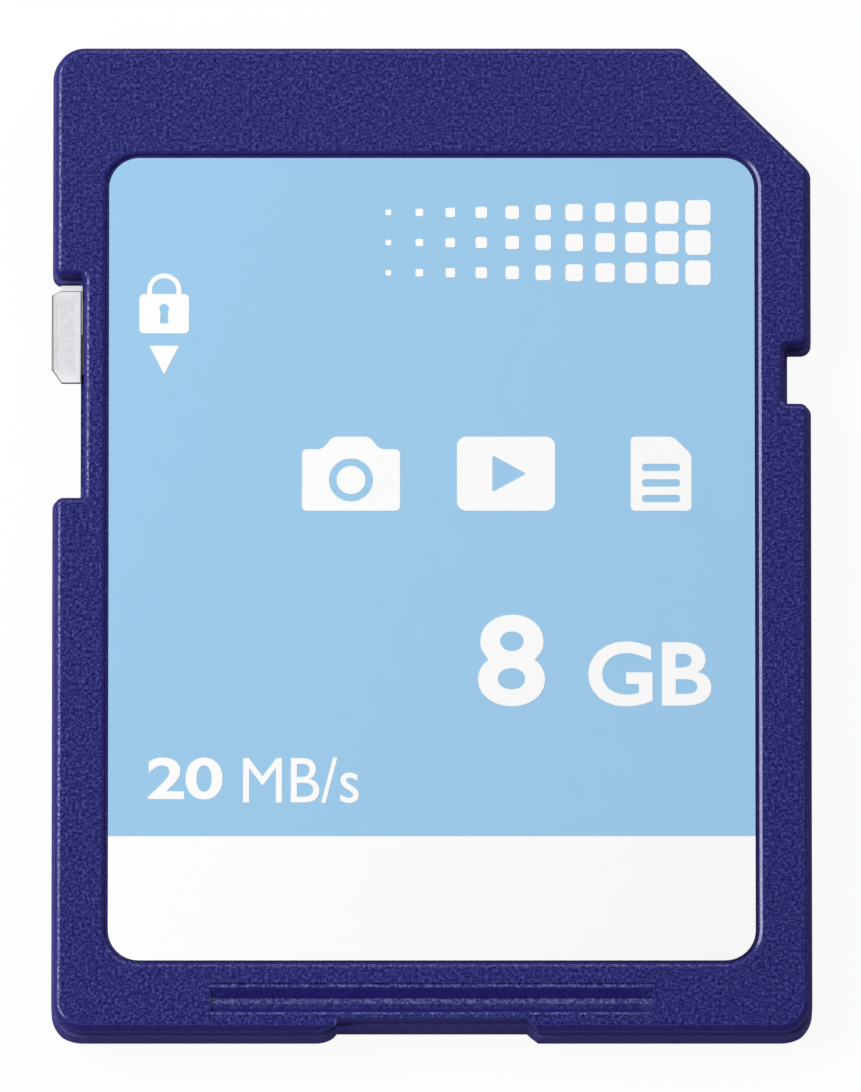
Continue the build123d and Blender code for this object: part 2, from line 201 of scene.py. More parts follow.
class LabelSettings(bpy.types.PropertyGroup):
    """Film and ink of the label."""

    field: colour("Field", "Colour of the upper field", 0.318, 0.56, 0.79)
    band: colour("Band", "Colour of the write-on band", 0.95, 0.95, 0.95)
    band_edge: length("Band Edge", "Where the band meets the field", -9.67)
    cut_edge: colour("Cut Edge", "Colour of the film where it was cut", 0.25, 0.28, 0.34)
    ripple: length("Ripple", "Size of the film's ripples", 0.9)
    ripple_height: length("Ripple Height", "Depth of the film's ripples", 0.004)
    film_roughness: spread("Film Roughness", "Least and most roughness of the film", 0.36, 0.46)
    ink: colour("Ink", "Colour of the printed marks", 0.95, 0.95, 0.95)
    ink_thickness: length("Ink Thickness", "Height of the printed marks", 0.008)
    ink_patch: length("Ink Patch", "Size of the patches where the ink is thin", 0.25)
    thin_ink: share("Thin Ink", "Brightness of the ink where it is thin", 0.96)
    ink_roughness: spread("Ink Roughness", "Least and most roughness of the ink", 0.4, 0.52)
    specular: share("Specular", "Strength of the reflections on film and ink", 0.3)


class LockMarkSettings(bpy.types.PropertyGroup):
    """The padlock and arrow beside the slider."""

    middle: place("Middle", "Middle of the padlock's body", -8.464, 7.239)
    width: length("Width", "Width of the padlock's body", 1.57)
    height: length("Height", "Height of the padlock's body", 1.278)
    corner: length("Corner", "Radius of the body's corners", 0.15)
    shackle: length("Shackle", "Outer radius of the shackle", 0.537)
    shackle_leg: length("Shackle Leg", "Length of the shackle's straight legs", 0.13)
    stroke: length("Stroke", "Width of the shackle's bar", 0.152)
    keyhole: length("Keyhole", "Radius of the keyhole's head", 0.152)
    keyhole_rise: length("Keyhole Rise", "From the body's middle up to the keyhole's head", 0.167)
    arrow_width: length("Arrow Width", "Width of the arrow at its top", 0.94)
    arrow_height: length("Arrow Height", "Height of the arrow", 0.93)
    arrow_gap: length("Arrow Gap", "Gap between the padlock and the arrow", 0.4)


class NumberMarkSettings(bpy.types.PropertyGroup):
    """The plain numbers on the label."""

    amount: StringProperty(name="Amount", description="Large number", default="8")
    amount_low: place("Amount Low", "Lower left of the large number", 1.46, -5.48)
    amount_high: place("Amount High", "Upper right of the large number", 3.58, -2.51)
    unit: StringProperty(name="Unit", description="Unit of the large number", default="GB")
    unit_low: place("Unit Low", "Lower left of the unit", 4.94, -5.48)
    unit_high: place("Unit High", "Upper right of the unit", 8.83, -3.38)
    rate: StringProperty(name="Rate", description="Small number", default="20")
    rate_low: place("Rate Low", "Lower left of the small number", -8.96, -8.49)
    rate_high: place("Rate High", "Upper right of the small number", -6.6, -7.13)
    rate_unit: StringProperty(name="Rate Unit", description="Unit of the small number", default="MB/s")
    rate_unit_low: place("Rate Unit Low", "Lower left of the small unit", -5.95, -8.6)
    rate_unit_high: place("Rate Unit High", "Upper right of the small unit", -2.3, -7.13)
    bold: share("Bold", "How far the bold letters are thickened, as a share of the type's size", 0.022)


class CellMarkSettings(bpy.types.PropertyGroup):
    """The block of cells that shrink towards the left."""

    right: place("Right", "Middle of the block's right side", 8.83, 9.55)
    pitch: length("Pitch", "Distance from one cell to the next", 0.98)
    columns: IntProperty(name="Columns", description="Cells in a row", default=11, min=1)
    rows: IntProperty(name="Rows", description="Rows of cells", default=3, min=1)
    largest: length("Largest", "Side of a cell in the last column", 0.8)
    smallest: length("Smallest", "Side of a cell in the first column", 0.18)
    corner: share("Corner", "Radius of a cell's corners, as a share of its side", 0.22)


class PictogramSettings(bpy.types.PropertyGroup):
    """The plain pictograms of what the card holds."""

    first: place("First", "Middle of the first pictogram", -2.55, 2.05)
    pitch: length("Pitch", "Distance from one pictogram to the next", 4.9)
    width: length("Width", "Width of the widest pictogram", 3.1)
    height: length("Height", "Height of the pictograms", 2.4)
    corner: length("Corner", "Radius that the pictograms' corners follow", 0.2)
    gap: length("Gap", "Width of the gaps inside a pictogram", 0.24)
    lines: IntProperty(name="Lines", description="Lines of writing on the sheet", default=3, min=0)


class SliderSettings(bpy.types.PropertyGroup):
    """Finish of the write-lock slider."""

    plastic: colour("Plastic", "Colour of the slider", 0.74, 0.74, 0.755)
    pits: colour("Pits", "Colour in the hollows of its surface", 0.66, 0.66, 0.68)
    # Painted shade: this darker colour is laid on the slider's steep sides.
    walls: colour("Walls", "Colour of its walls", 0.56, 0.56, 0.575)
    # Painted highlight: a paler tone towards the slider's ends and along its inner side.
    pale: colour("Pale Edge", "Colour towards the ends and the inner side", 0.86, 0.86, 0.87)
    highlight_share: share("Pale Share", "Strength of the pale tone", 0.7)
    highlight_end: length("Pale End", "Reach of the pale tone from each end", 0.5)
    highlight_side: length("Pale Side", "Reach of the pale tone from the inner side", 0.2)
    # Painted shade: a faint dark line that stands in for the shading of a fine step along the outer side.
    step: colour("Step", "Colour of the fine step along its outer side", 0.5, 0.5, 0.52)
    step_shade_share: share("Step Share", "Strength of the step's line", 0.5)
    step_shade_place: length("Step Place", "How far the step is from the outer side", 0.15)
    step_shade_width: length("Step Width", "Half the width of the step's line", 0.018)
    # Painted shade: a dark tone along the slider's outer side and over its rounded upper edges.
    edge_shade: colour("Grime", "Colour of the grime along its upper edges", 0.07, 0.07, 0.075)
    edge_shade_share: share("Grime Share", "Strength of the grime along its outer side", 0.6)
    edge_shade_width: length("Grime Width", "Width of the grime along its outer side", 0.1)
    knob_width: length("Knob Width", "Width of what shows in the slot", 0.87)
    grain: length("Grain", "Size of the surface's texture", 0.16)
    grain_height: length("Grain Height", "Depth of the surface's texture", 0.008)
    roughness: share("Roughness", "Roughness of the slider's face", 0.38)
    specular: share("Specular", "Strength of the slider's reflections", 0.45)


class ChipSettings(bpy.types.PropertyGroup):
    """Finish of the two chips."""

    plastic: colour("Plastic", "Colour of the filler in the moulding", 0.05, 0.05, 0.053)
    pits: colour("Pits", "Colour of the moulding", 0.022, 0.022, 0.024)
    walls: colour("Walls", "Colour of the chips' walls", 0.022, 0.022, 0.024)
    grain: length("Grain", "Size of the moulding's texture", 0.09)
    grain_height: length("Grain Height", "Depth of the moulding's texture", 0.012)
    roughness: share("Roughness", "Roughness of the moulding's face", 0.6)
    specular: share("Specular", "Strength of the moulding's reflections", 0.4)


class BoardSettings(bpy.types.PropertyGroup):
    """Finishes of the circuit board, its metal and its small parts."""

    mask: colour("Mask", "Colour of the solder mask", 0.01, 0.085, 0.045)
    mask_roughness: spread("Mask Roughness", "Least and most roughness of the solder mask", 0.3, 0.42)
    weave: colour("Weave", "Colour of the glass weave", 0.022, 0.12, 0.062)
    weave_scale: length("Weave Scale", "Scale of the glass weave", 6.0)
    weave_height: length("Weave Height", "Depth of the glass weave", 0.004)
    weave_bend: share("Weave Bend", "How far the strands of the weave bend", 0.6)
    gold: colour("Gold", "Colour of the contacts", 0.87, 0.61, 0.24)
    worn_gold: colour("Worn Gold", "Colour of rubbed contacts", 0.76, 0.56, 0.3)
    gold_patch: length("Gold Patch", "Width of the rubbed patches", 0.12)
    gold_stroke: length("Gold Stroke", "Length of the rubbed patches", 1.08)
    gold_roughness: share("Gold Roughness", "Roughness of the bright gold", 0.22)
    tin: colour("Tin", "Colour of tinned metal", 0.66, 0.67, 0.69)
    dull_tin: colour("Dull Tin", "Colour of dull tinned metal", 0.48, 0.49, 0.51)
    tin_patch: length("Tin Patch", "Size of the dull patches", 0.15)
    tin_roughness: share("Tin Roughness", "Roughness of the bright tin", 0.32)
    capacitor: colour("Capacitor", "Colour of the capacitors' bodies", 0.42, 0.27, 0.15)
    resistor: colour("Resistor", "Colour of the resistors' bodies", 0.018, 0.018, 0.02)
    dusk: share("Dusk", "Brightness of a ceramic body in its dark patches", 0.8)
    ceramic_patch: length("Ceramic Patch", "Size of those patches", 0.08)
    ceramic_roughness: spread("Ceramic Roughness", "Least and most roughness of a body", 0.35, 0.55)
    cap_share: share("Cap Share", "Length of an end cap, as a share of the component", 0.25)


class StageSettings(bpy.types.PropertyGroup):
    """Floor, light and camera."""

    floor: colour("Floor", "Colour of the floor", 0.9, 0.9, 0.9)
    floor_glow: share("Floor Glow", "How far the floor is seen as plain white", 0.93)
    floor_reach: length("Floor Reach", "From the middle of the floor to its sides", 4000)
    floor_gap: length("Floor Gap", "Gap between the card and the floor", 0.002)
    fill: share("Fill", "Strength of the soft light on the lit side", 0.28)
    shade: share("Shade", "Strength of the soft light on the shaded side", 0.2)
    left_power: power("Left Power", "Power of the lamp on the left", 0.9)
    left_turn: angle("Left Turn", "Direction of the left lamp, from +Y towards -X", 82)
    left_rise: angle("Left Rise", "Height of the left lamp above the floor", 45)
    left_width: length("Left Width", "Long side of the left lamp", 240)
    top_power: power("Top Power", "Power of the lamp beyond the top edge", 0.25)
    top_turn: angle("Top Turn", "Direction of the top lamp, from +Y towards -X", -14)
    top_rise: angle("Top Rise", "Height of the top lamp above the floor", 45)
    top_width: length("Top Width", "Long side of the top lamp", 300)
    lamp_height: length("Lamp Height", "Short side of a strip lamp", 180)
    lamp_distance: length("Lamp Distance", "Distance from the card to a lamp", 300)
    tilt: angle("Tilt", "How far the camera leans from straight down", 12.6)
    distance: length("Distance", "Distance from the camera to the card", 1100)
    aim: place("Aim", "Point that the camera looks at", -0.04, -0.3)


class CardSettings(bpy.types.PropertyGroup):
    """All settings of the memory card's finish."""

    case: PointerProperty(type=CaseSettings)
    label: PointerProperty(type=LabelSettings)
    lock_mark: PointerProperty(type=LockMarkSettings)
    number_mark: PointerProperty(type=NumberMarkSettings)
    cell_mark: PointerProperty(type=CellMarkSettings)
    pictogram: PointerProperty(type=PictogramSettings)
    slider: PointerProperty(type=SliderSettings)
    chip: PointerProperty(type=ChipSettings)
    board: PointerProperty(type=BoardSettings)
    stage: PointerProperty(type=StageSettings)


def feed(node, inputs):
    """Sets or links the inputs of a shader node. A plain colour gets full alpha."""
    for name, value in inputs.items():
        socket = node.inputs[name]
        if isinstance(value, bpy.types.NodeSocket):
            node.id_data.links.new(value, socket)
        elif socket.type == "RGBA":
            socket.default_value = (*value, 1.0)
        else:
            socket.default_value = value


def put(tree, kind, inputs=None, **options):
    """Adds a shader node with the given options and inputs."""
    made = tree.nodes.new(kind)
    for option, value in options.items():
        setattr(made, option, value)
    feed(made, inputs or {})
    return made


def sums(operation, *values):
    """Arithmetic on one, two or three values, in the tree that they come from."""
    tree = next(value.id_data for value in values if isinstance(value, bpy.types.NodeSocket))
    return put(tree, "ShaderNodeMath", dict(enumerate(values)), operation=operation).outputs[0]


def product(first, second):
    """Two values multiplied, which on masks gives their overlap."""
    return sums("MULTIPLY", first, second)


def larger(first, second):
    """The larger of two values, which on masks joins them."""
    return sums("MAXIMUM", first, second)


def above(first, second):
    """A mask of where the first value is above the second."""
    return sums("GREATER_THAN", first, second)


def between(value, low, high):
    """A mask of where a value lies between two limits."""
    return product(above(value, low), above(high, value))


def distance_from(value, middle=0.0):
    """How far a value is from the middle, to either side."""
    return sums("ABSOLUTE", sums("SUBTRACT", value, middle))


def blend(factor, first, second):
    """A mix of two colours."""
    colours = {0: factor, 6: first, 7: second}
    return put(factor.id_data, "ShaderNodeMix", colours, data_type="RGBA").outputs[2]


def remap(value, low, high, new_low=0.0, new_high=1.0):
    """A value stretched from one range to another and held inside it."""
    limits = {"From Min": low, "From Max": high, "To Min": new_low, "To Max": new_high}
    return put(value.id_data, "ShaderNodeMapRange", {"Value": value, **limits}).outputs["Result"]


def noise(point, scale, detail=2.0, roughness=0.5):
    """Soft random patches, from nought to one."""
    values = {"Vector": point, "Scale": scale, "Detail": detail, "Roughness": roughness}
    return put(point.id_data, "ShaderNodeTexNoise", values).outputs["Fac"]


def bumps(height, depth):
    """The normal of a surface that is raised by a height of that depth in metres."""
    values = {"Height": height, "Distance": depth, "Strength": 1.0}
    return put(height.id_data, "ShaderNodeBump", values).outputs["Normal"]


def axes(vector):
    """The X, Y and Z of a vector."""
    return put(vector.id_data, "ShaderNodeSeparateXYZ", {"Vector": vector}).outputs


def object_place(tree):
    """The point on the piece, in metres."""
    return put(tree, "ShaderNodeTexCoord").outputs["Object"]


def facing(tree):
    """The X, Y and Z of the direction that the surface faces."""
    return axes(put(tree, "ShaderNodeTexCoord").outputs["Normal"])


def levelness(tree):
    """How level the surface is: one on the flat faces and nought on the walls."""
    return distance_from(facing(tree)["Z"])


def paint_over(mask, rgb):
    """Lays a colour over the shader's own colour where the mask is one."""
    shader = mask.id_data.nodes["Principled BSDF"]
    under = shader.inputs["Base Color"].links[0].from_socket
    feed(shader, {"Base Color": blend(mask, under, rgb)})


def new_group(name, **sockets):
    """An empty shader group with inputs and outputs, what it is given, and its output node."""
    group = bpy.data.node_groups.new(name, "ShaderNodeTree")
    for side, names in sockets.items():
        for socket in names:
            kind = "NodeSocketColor" if socket.endswith("Color") else "NodeSocketFloat"
            group.interface.new_socket(socket, in_out=side.upper(), socket_type=kind)
    return group, put(group, "NodeGroupInput").outputs, put(group, "NodeGroupOutput")


def mould_grain():
    """The texture of a spark-eroded mould, built once: soft beads that fade out on the walls, and the
    walls' darker colour laid on walls and slopes as painted shade.
    """
    made = bpy.data.node_groups.get("mould_grain")
    if made:
        return made
    group, given, out = new_group(
        "mould_grain",
        input=(
            "Color", "Pit Color", "Wall Color", "Wall Level", "Wall Span", "Wall Share",
            "Grain Size", "Edge Beads", "Roughness",
        ),
        output=("Color", "Roughness", "Height", "Edge"),
    )
    beads = noise(object_place(group), sums("DIVIDE", 1.0, given["Grain Size"]), roughness=0.6)
    level = levelness(group)

    tone = sums("POWER", remap(beads, *BEAD_TONES), TONE_CONTRAST)
    mottled = blend(tone, given["Pit Color"], given["Color"])
    shaded_walls = blend(product(tone, WALL_MOTTLE), given["Wall Color"], given["Color"])
    # Painted shade: the walls' colour is laid over walls and slopes by how far they tilt.
    wall_start = sums("SUBTRACT", given["Wall Level"], given["Wall Span"])
    wall_shade = remap(level, wall_start, given["Wall Level"], given["Wall Share"], 0.0)

    turned = remap(level, *TURNED_EDGES, 1.0, 0.0)
    hollows = product(given["Edge Beads"], remap(beads, *BEAD_HOLLOWS, 1.0, 0.0))
    rough = sums("ADD", given["Roughness"], product(turned, product(hollows, HOLLOW_ROUGHNESS)))
    edge = product(turned, remap(level, *POLISHED_EDGES))
    relief = sums("SUBTRACT", beads, BEAD_MIDDLE)
    feed(out, {
        "Color": blend(wall_shade, mottled, shaded_walls),
        "Roughness": remap(level, *ROUGH_WALLS, 1.0, rough),
        "Height": product(relief, remap(level, *GRAINED_FACES, EDGE_GRAIN, 1.0)),
        "Edge": product(edge, remap(hollows, 0.0, 1.0, 1.0, HOLLOW_POLISH)),
    })
    return group


def new_material(name):
    """A material with its node tree and its Principled shader."""
    material = bpy.data.materials.new(name)
    material.use_nodes = True
    return material, material.node_tree, material.node_tree.nodes["Principled BSDF"]


def moulded_plastic(name, finish, wall_level=0.6, wall_span=0.4, gloss=(1.0, 1.0, 1.0)):
    """Plastic with the grain of its mould, from the settings of its finish."""
    material, tree, shader = new_material(name)
    values = {
        "Color": finish.plastic, "Pit Color": finish.pits, "Wall Color": finish.walls,
        "Wall Level": wall_level, "Wall Span": wall_span, "Wall Share": 1.0,
        "Grain Size": finish.grain, "Edge Beads": 0.0, "Roughness": finish.roughness,
    }
    grain = put(tree, "ShaderNodeGroup", values, node_tree=mould_grain(), name="mould_grain").outputs
    feed(shader, {
        "Base Color": grain["Color"],
        "Roughness": grain["Roughness"],
        "Normal": bumps(grain["Height"], finish.grain_height),
        "Specular IOR Level": finish.specular,
        "Specular Tint": gloss,
    })
    return material


def mottled_metal(name, bright, dull, width, stroke, roughness):
    """Metal with soft dull patches of that width along X and that stroke along Y."""
    material, tree, shader = new_material(name)
    drawn_out = {"Vector": object_place(tree), "Scale": (1.0, width / stroke, 1.0)}
    point = put(tree, "ShaderNodeMapping", drawn_out).outputs["Vector"]
    wear = remap(noise(point, 1.0 / width, detail=3.0), *DULL_RANGE)
    feed(shader, {
        "Base Color": blend(wear, bright, dull),
        "Roughness": remap(wear, 0.0, 1.0, roughness, roughness + DULL_ROUGHNESS),
        "Normal": bumps(wear, WEAR_DEPTH),
        "Metallic": 1.0,
    })
    return material


def dress(material, *nodes):
    """Gives CAD nodes a material."""
    for name in nodes:
        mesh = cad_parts[name].data
        mesh.materials.clear()
        mesh.materials.append(material)


def numbered(stem):
    """The CAD nodes whose names are that stem and a number."""
    return sorted(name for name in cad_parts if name.startswith(stem + "_") and name[-1].isdigit())


def make_object(name, mesh_edit, material):
    """An object at the origin, made of a bmesh."""
    mesh = bpy.data.meshes.new(name)
    mesh_edit.to_mesh(mesh)
    mesh_edit.free()
    mesh.materials.append(material)
    made = bpy.data.objects.new(name, mesh)
    bpy.context.scene.collection.objects.link(made)
    return made


def shift(flat, verts, x, y, z=0.0):
    """Moves vertices."""
    bmesh.ops.translate(flat, verts=verts, vec=(x, y, z))


def outline(flat, corners, radius=0.0):
    """A flat face on the given corners, each rounded by radius."""
    verts = [flat.verts.new((x, y, 0.0)) for x, y in corners]
    face = flat.faces.new(verts)
    if radius > 0.0:
        made = bmesh.ops.bevel(
            flat, geom=verts, offset=radius, offset_type="OFFSET", segments=CORNER_STEPS,
            profile=0.5, affect="VERTICES", material=-1,
        )
        face = made["verts"][0].link_faces[0]
    return face


def rectangle(width, height, x=0.0, y=0.0):
    """The corners of a rectangle about the given point."""
    left, right = x - width / 2, x + width / 2
    bottom, top = y - height / 2, y + height / 2
    return ((left, bottom), (right, bottom), (right, top), (left, top))


def fill_between(flat):
    """Fills the outlines, and leaves open what lies inside an inner one."""
    bmesh.ops.delete(flat, geom=flat.faces[:], context="FACES_ONLY")
    bmesh.ops.triangle_fill(flat, use_beauty=True, edges=flat.edges[:])


def pour_into(flat, mesh):
    """Adds a mesh to the print and does away with it."""
    flat.from_mesh(mesh)
    bpy.data.meshes.remove(mesh)


def new_points(made):
    """The vertices among the geometry that a bmesh operator made."""
    return [part for part in made if isinstance(part, bmesh.types.BMVert)]


def print_on_label(name, flat):
    """Lays flat faces on the label as a piece of printed ink."""
    thickness = bpy.context.scene.memory_card.label.ink_thickness
    bmesh.ops.remove_doubles(flat, verts=flat.verts[:], dist=WELD_DISTANCE)
    bmesh.ops.recalc_face_normals(flat, faces=flat.faces[:])
    for face in flat.faces:
        if face.normal.z < 0.0:
            face.normal_flip()
    top = bmesh.ops.extrude_face_region(flat, geom=flat.faces[:], use_keep_orig=True)["geom"]
    shift(flat, new_points(top), 0.0, 0.0, thickness)
    bmesh.ops.recalc_face_normals(flat, faces=flat.faces[:])
    for face in flat.faces:
        face.smooth = False
    shift(flat, flat.verts[:], 0.0, 0.0, LABEL_HIGH.z)
    piece = make_object(name, flat, bpy.data.materials["printed_ink"])
    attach(piece, "card")


def close_notches(mesh, bold):
    """Merges a thickened outline where it crosses itself at a notch, and fills the pinhole behind it."""
    word = bmesh.new()
    word.from_mesh(mesh)
    bmesh.ops.remove_doubles(word, verts=word.verts[:], dist=NOTCH_SHARE * bold)
    bmesh.ops.holes_fill(word, edges=word.edges[:], sides=3)
    word.to_mesh(mesh)
    word.free()


def typeset(flat, word, low, high, bold=0.0):
    """Adds a word as flat faces that fill the box from low to high."""
    text = bpy.data.curves.new("word", "FONT")
    text.body = word
    text.size = 1.0
    text.offset = bold
    text.resolution_u = LETTER_STEPS
    text.fill_mode = "FRONT"
    carrier = bpy.data.objects.new("word", text)
    bpy.context.scene.collection.objects.link(carrier)
    bpy.context.view_layer.update()
    mesh = bpy.data.meshes.new_from_object(carrier.evaluated_get(bpy.context.evaluated_depsgraph_get()))
    bpy.data.objects.remove(carrier)
    bpy.data.curves.remove(text)
    close_notches(mesh, bold)

    across = [vert.co.x for vert in mesh.vertices]
    along = [vert.co.y for vert in mesh.vertices]
    left, bottom = min(across), min(along)
    wider = (high[0] - low[0]) / (max(across) - left)
    taller = (high[1] - low[1]) / (max(along) - bottom)
    mesh.transform(Matrix.Translation((-left, -bottom, 0.0)))
    mesh.transform(Matrix.Diagonal((wider, taller, 1.0, 1.0)))
    mesh.transform(Matrix.Translation((*low, 0.0)))
    pour_into(flat, mesh)


class FinishCase(bpy.types.Operator):
    """Gives both halves of the case their grained plastic, with painted shade on walls and slopes and
    painted light on the seam's ledge and on a groove's end slope
    """

    bl_idname = "memory_card.finish_case"
    bl_label = "Finish Case"

    def polish_edges(self, tree, case, point):
        """Gives the edges a polish, with fewer beads on the rim at the label's right side."""
        rim = between(point["X"], LABEL_HIGH.x - case.rim_width, LABEL_HIGH.x + case.rim_width)
        grain = tree.nodes["mould_grain"]
        feed(grain, {"Edge Beads": remap(rim, 0.0, 1.0, 1.0, case.rim_beads)})
        coat = product(grain.outputs["Edge"], case.polish)
        feed(tree.nodes["Principled BSDF"], {"Coat Weight": coat, "Coat Roughness": case.polish_roughness})

    def shade_grooves(self, tree, case, point):
        """Keeps the painted wall shade off the crests and ends of the grooves, and paints light over the
        shaded end slope that faces +X.
        """
        across = distance_from(point["X"])
        along = between(point["Y"], GRIP_END + case.groove_low, GRIP_END + case.groove_high)
        grooved = product(along, above(case.groove_reach + GROOVE_MARGIN, across))
        bright = remap(across, case.groove_reach - case.groove_fade, case.groove_reach)
        for start, end in GROOVE_CRESTS:
            bright = larger(bright, between(point["Y"], GRIP_END + start, GRIP_END + end))
        wall_share = sums("SUBTRACT", 1.0, product(grooved, bright))
        feed(tree.nodes["mould_grain"], {"Wall Share": wall_share})
        # Painted light over the shade on the end slope that faces +X.
        paint_over(product(grooved, above(facing(tree)["X"], END_SLOPE)), case.painted_end_light)

    def paint_ledges(self, tree, case, point):
        """Gives the ledge at the seam a paler colour as painted light, and the floor of the label's recess
        a smooth tone of its own.
        """
        # The seam's colour is painted light on its ledge; the recess's colour is its floor's own smooth
        # tone.
        level = above(levelness(tree), LEVEL_FACE)
        for height, start, rgb in (
            (SEAM_HEIGHT, GRIP_END, case.seam),
            (LABEL_LOW.z, LABEL_LOW.y - case.rim_width, case.recess),
        ):
            at_height = sums("COMPARE", point["Z"], height, LEDGE_MATCH)
            ledge = product(at_height, above(point["Y"], start))
            paint_over(product(ledge, level), rgb)

    def execute(self, context):
        case = context.scene.memory_card.case
        plastic = moulded_plastic("case_plastic", case, case.wall_level, case.wall_span, case.gloss)
        tree = plastic.node_tree
        point = axes(object_place(tree))
        self.polish_edges(tree, case, point)
        self.shade_grooves(tree, case, point)
        self.paint_ledges(tree, case, point)
        dress(plastic, "front_shell", "back_shell")
        return {"FINISHED"}


class FinishLabel(bpy.types.Operator):
    """Prints the label's two fields and makes the ink of its marks"""

    bl_idname = "memory_card.finish_label"
    bl_label = "Finish Label"

    def film(self, label):
        """Film with a coloured field above a plain band, and a grey cut edge."""
        material, tree, shader = new_material("label_film")
        point = object_place(tree)
        fields = blend(above(axes(point)["Y"], label.band_edge), label.band, label.field)
        on_face = above(facing(tree)["Z"], LEVEL_FACE)
        ripple = noise(point, 1.0 / label.ripple)
        feed(shader, {
            "Base Color": blend(on_face, label.cut_edge, fields),
            "Roughness": remap(ripple, *NOISE_RANGE, *label.film_roughness),
            "Normal": bumps(ripple, label.ripple_height),
            "Specular IOR Level": label.specular,
        })
        return material

    def mix_ink(self, label):
        """Makes the ink, a little darker where it is thin."""
        _, tree, shader = new_material("printed_ink")
        mottle = noise(object_place(tree), 1.0 / label.ink_patch)
        thin = [label.thin_ink * channel for channel in label.ink]
        feed(shader, {
            "Base Color": blend(mottle, thin, label.ink),
            "Roughness": remap(mottle, *NOISE_RANGE, *label.ink_roughness),
            "Specular IOR Level": label.specular,
        })

    def execute(self, context):
        label = context.scene.memory_card.label
        dress(self.film(label), "label")
        self.mix_ink(label)
        return {"FINISHED"}


class PrintLockMark(bpy.types.Operator):
    """Prints the padlock and the arrow that show which way the slider locks"""

    bl_idname = "memory_card.print_lock_mark"
    bl_label = "Print Lock Mark"

    def body(self, flat, mark):
        """The padlock's body with its keyhole left open."""
        face = outline(flat, rectangle(mark.width, mark.height), mark.corner)
        bmesh.ops.delete(flat, geom=[face], context="FACES_ONLY")
        keyhole = bmesh.ops.create_circle(flat, segments=KEYHOLE_SIDES, radius=mark.keyhole)["verts"]
        neck = 0.69 * mark.keyhole
        stem_half_width = 0.86 * mark.keyhole
        stem_foot = 3.17 * mark.keyhole
        for vert in keyhole:
            if vert.co.y < -neck:
                vert.co.x = math.copysign(stem_half_width, vert.co.x)
                vert.co.y = -stem_foot
        shift(flat, keyhole, 0.0, mark.keyhole_rise)
        bmesh.ops.remove_doubles(flat, verts=keyhole, dist=WELD_DISTANCE)
        bmesh.ops.triangle_fill(flat, use_beauty=True, edges=flat.edges[:])

    def shackle(self, flat, mark):
        """The padlock's shackle: a half ring on two straight legs."""
        spring = mark.height / 2 + mark.shackle_leg
        inner = flat.verts.new((mark.shackle - mark.stroke, spring, 0.0))
        outer = flat.verts.new((mark.shackle, spring, 0.0))
        bar = flat.edges.new((inner, outer))
        swept = bmesh.ops.spin(
            flat, geom=[inner, outer, bar], cent=(0.0, spring, 0.0), axis=(0.0, 0.0, 1.0),
            angle=math.pi, steps=CIRCLE_SIDES // 2,
        )["geom_last"]
        ends = [bar] + [part for part in swept if isinstance(part, bmesh.types.BMEdge)]
        legs = bmesh.ops.extrude_edge_only(flat, edges=ends)["geom"]
        shift(flat, new_points(legs), 0.0, -mark.shackle_leg)

    def arrow(self, flat, mark):
        """The arrow under the padlock."""
        half_width = mark.arrow_width / 2
        top = -mark.height / 2 - mark.arrow_gap
        outline(flat, ((-half_width, top), (0.0, top - mark.arrow_height), (half_width, top)))

    def execute(self, context):
        mark = context.scene.memory_card.lock_mark
        flat = bmesh.new()
        self.body(flat, mark)
        self.shackle(flat, mark)
        self.arrow(flat, mark)
        shift(flat, flat.verts[:], *mark.middle)
        print_on_label("lock_mark", flat)
        return {"FINISHED"}


class PrintNumbers(bpy.types.Operator):
    """Prints the plain numbers and their units"""

    bl_idname = "memory_card.print_numbers"
    bl_label = "Print Numbers"

    def execute(self, context):
        mark = context.scene.memory_card.number_mark
        amount = bmesh.new()
        typeset(amount, mark.amount, mark.amount_low, mark.amount_high, mark.bold)
        typeset(amount, mark.unit, mark.unit_low, mark.unit_high, mark.bold)
        print_on_label("amount_mark", amount)
        rate = bmesh.new()
        typeset(rate, mark.rate, mark.rate_low, mark.rate_high, mark.bold)
        typeset(rate, mark.rate_unit, mark.rate_unit_low, mark.rate_unit_high)
        print_on_label("rate_mark", rate)
        return {"FINISHED"}


class PrintCells(bpy.types.Operator):
    """Prints a block of cells that shrink towards the left"""

    bl_idname = "memory_card.print_cells"
    bl_label = "Print Cells"

    def execute(self, context):
        mark = context.scene.memory_card.cell_mark
        flat = bmesh.new()
        for column in range(mark.columns):
            growth = column / max(mark.columns - 1, 1)
            side = mark.smallest + (mark.largest - mark.smallest) * growth
            x = mark.right[0] - mark.largest / 2 - (mark.columns - 1 - column) * mark.pitch
            for row in range(mark.rows):
                y = mark.right[1] + (row - (mark.rows - 1) / 2) * mark.pitch
                outline(flat, rectangle(side, side, x, y), mark.corner * side)
        print_on_label("cell_mark", flat)
        return {"FINISHED"}


